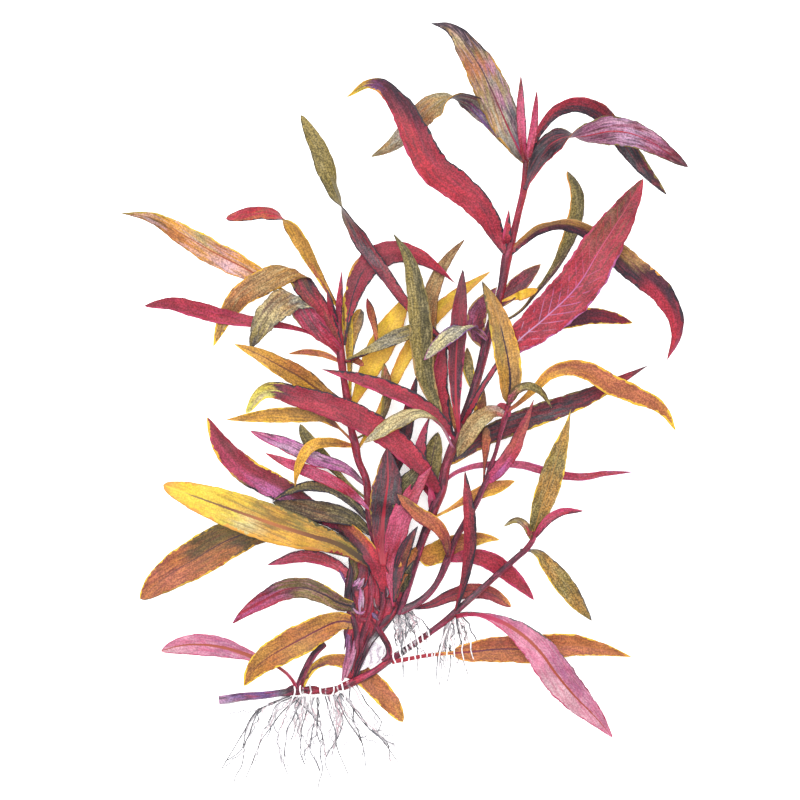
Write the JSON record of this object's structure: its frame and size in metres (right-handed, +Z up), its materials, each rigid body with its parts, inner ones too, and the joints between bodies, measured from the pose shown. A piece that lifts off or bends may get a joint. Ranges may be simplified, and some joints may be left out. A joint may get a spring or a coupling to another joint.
{
  "type": "bare-rooted alternanthera plant",
  "caption": "Bare-rooted aquarium plant laid on its side: creeping rhizome with fine roots, leafy shoots and lance-shaped crimson, plum and gold leaves.",
  "frame": {"origin": "on the surface that the plant lies on, under the middle of its box", "axes": "+Y along the plant from its roots to its top, +X to the right as it is seen from above, +Z up from the surface"},
  "size_m": [0.1859, 0.2504, 0.0331],
  "materials": {
    "leaf_crimson": "satin",
    "leaf_magenta": "satin",
    "leaf_plum": "satin",
    "leaf_mauve": "satin",
    "leaf_gold": "satin",
    "leaf_yellow": "satin",
    "leaf_olive": "satin",
    "leaf_tan": "matte",
    "leaf_rust": "satin",
    "leaf_pink": "satin",
    "leaf_grey": "matte",
    "stem_crimson": "satin",
    "stem_plum": "satin",
    "crown_lilac": "matte",
    "root_white": "matte"
  },
  "bodies": {
    "root": {"beige_leaf_middle": "leaf_tan", "big_crimson_leaf": "leaf_crimson", "big_pink_leaf": "leaf_pink", "big_yellow_leaf": "leaf_yellow", "brick_leaf_right": "leaf_rust", "brown_leaf_behind_middle": "leaf_tan", "crimson_leaf_across_left": "leaf_crimson", "crimson_leaf_across_middle": "leaf_crimson", "crimson_leaf_arching_left": "leaf_crimson", "crimson_leaf_arching_right": "leaf_crimson", "crimson_leaf_behind_middle": "leaf_crimson", "crimson_leaf_long_left": "leaf_crimson", "crimson_leaf_low_left": "leaf_magenta", "crimson_leaf_low_right": "leaf_crimson", "crimson_leaf_upright_middle": "leaf_crimson", "crown_leaf_dark_right": "leaf_plum", "crown_leaf_drooping_left": "leaf_tan", "crown_leaf_hooded_right": "leaf_mauve", "crown_leaf_upright": "leaf_mauve", "crown_roots": "root_white", "folded_grey_leaf_left": "leaf_grey", "folded_tan_leaf_left": "leaf_tan", "gold_leaf_arching_right": "leaf_gold", "gold_leaf_low_left": "leaf_gold", "gold_leaf_lower_left": "leaf_gold", "gold_leaf_stalk": "leaf_gold", "gold_leaf_top_left": "leaf_gold", "gold_leaf_under_crown": "leaf_gold", "golden_leaf_left": "leaf_gold", "grey_leaf_front_middle": "leaf_grey", "left_stem": "stem_crimson", "mauve_leaf_left": "leaf_mauve", "middle_shoot": "stem_crimson", "olive_leaf_behind_big_leaf": "leaf_olive", "olive_leaf_left": "leaf_olive", "olive_leaf_runner": "leaf_olive", "olive_leaf_runner_low": "leaf_olive", "olive_leaf_tall_middle": "leaf_olive", "orange_leaf_left": "leaf_rust", "orange_leaf_right": "leaf_rust", "orange_leaf_upper_left": "leaf_gold", "pale_pink_leaf": "leaf_pink", "pink_leaf_left": "leaf_magenta", "pink_leaf_long_right": "leaf_magenta", "plum_leaf_crown": "leaf_plum", "plum_leaf_left": "leaf_plum", "plum_leaf_long_right": "leaf_plum", "plum_leaf_under_big_leaf": "leaf_plum", "plum_leaf_upright_right": "leaf_plum", "rhizome": "stem_crimson", "rhizome_roots": "root_white", "runner_roots": "root_white", "runner_shoot": "stem_crimson", "stub_shoot": "stem_plum", "tall_stem": "stem_crimson", "terracotta_leaf_middle": "leaf_rust", "trunk": "crown_lilac", "twisted_leaf_left": "leaf_olive", "yellow_leaf_behind_left": "leaf_yellow", "yellow_leaf_behind_middle": "leaf_yellow"}
  },
  "joints": []
}
